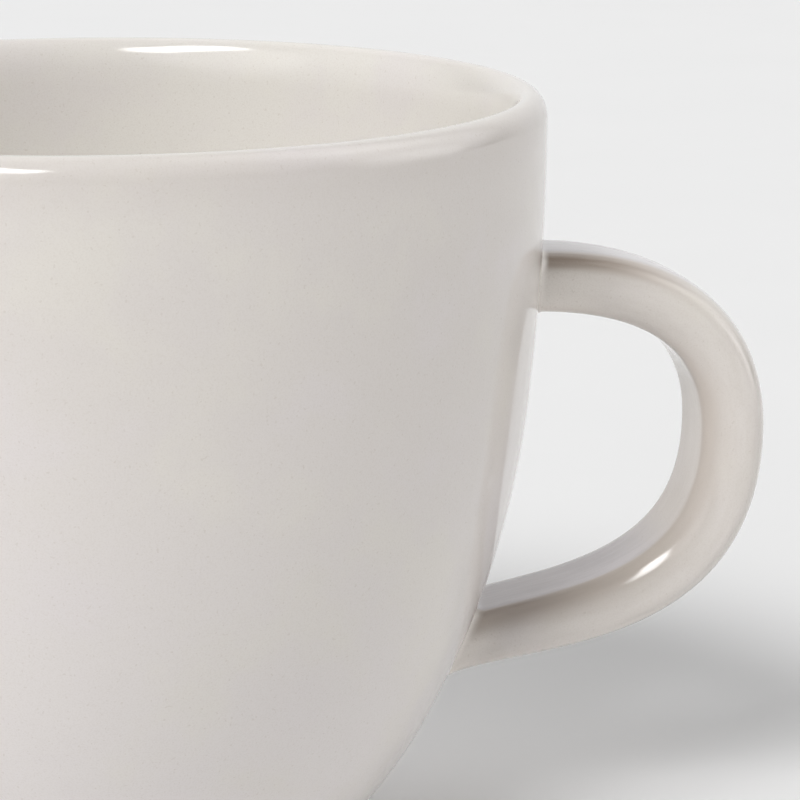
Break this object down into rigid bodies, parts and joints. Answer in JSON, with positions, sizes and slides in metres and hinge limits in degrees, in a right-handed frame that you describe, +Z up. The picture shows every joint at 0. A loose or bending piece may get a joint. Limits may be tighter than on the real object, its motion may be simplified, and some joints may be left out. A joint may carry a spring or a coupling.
{
  "type": "soup mug",
  "caption": "Wide stoneware soup mug with a round lip, a wall that curves in to a low foot ring, and a rounded strap handle.",
  "frame": {"origin": "centre of the foot ring, on the surface that the mug stands on", "axes": "+Z up along the mug's axis, +X towards the handle"},
  "size_m": [0.1511, 0.12, 0.102],
  "materials": {
    "body_glaze": "glossy warm off-white glaze with fine specks",
    "handle_glaze": "the same glossy glaze, a little thinner on the edges",
    "slip": "clay slip under the glaze"
  },
  "bodies": {
    "root": {"body": "body_glaze", "handle": "handle_glaze", "upper_slip_joint": "slip", "lower_slip_joint": "slip"}
  },
  "joints": []
}
